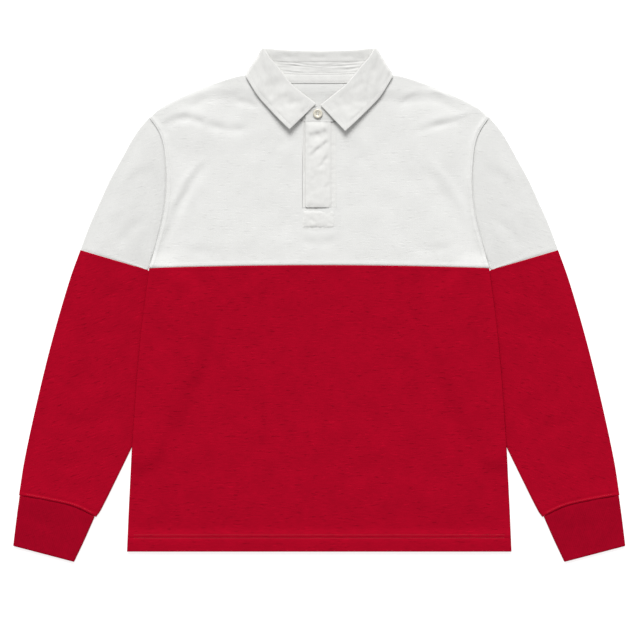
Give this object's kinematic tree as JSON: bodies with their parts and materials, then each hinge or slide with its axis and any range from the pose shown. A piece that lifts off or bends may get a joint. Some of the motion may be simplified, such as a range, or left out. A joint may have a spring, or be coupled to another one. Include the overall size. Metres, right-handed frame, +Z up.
{
  "type": "rugby shirt",
  "caption": "Long-sleeved rugby shirt in two colour blocks, laid flat on its back: twill collar on a stand, buttoned placket, heather white over deep red, ribbed cuffs",
  "frame": {"origin": "On the surface that the shirt lies on, under the middle of its outline", "axes": "+X to the sleeve seen on the right, across the shirt; +Y from the hem to the collar; +Z up, from the back panels to the front ones. The shirt lies on its back"},
  "size_m": [0.892, 0.7487, 0.0112],
  "materials": {
    "heather_white_jersey": "heavy knitted jersey, heather white",
    "white_twill": "cotton twill, off white",
    "red_jersey": "heavy knitted jersey, deep red",
    "red_rib": "fine rib knit, deep red",
    "cream_button": "cream, satin"
  },
  "bodies": {
    "root": {"front_upper": "heather_white_jersey", "back_upper": "heather_white_jersey", "front_lower": "red_jersey", "back_lower": "red_jersey", "sleeve_upper_left": "heather_white_jersey", "sleeve_upper_right": "heather_white_jersey", "sleeve_lower_left": "red_jersey", "sleeve_lower_right": "red_jersey", "cuff_left": "red_rib", "cuff_right": "red_rib", "collar_leaf": "white_twill", "collar_stand": "white_twill", "neck_tape": "white_twill", "placket_under": "white_twill", "placket_over": "white_twill", "placket_box": "white_twill", "button": "cream_button"}
  },
  "joints": []
}
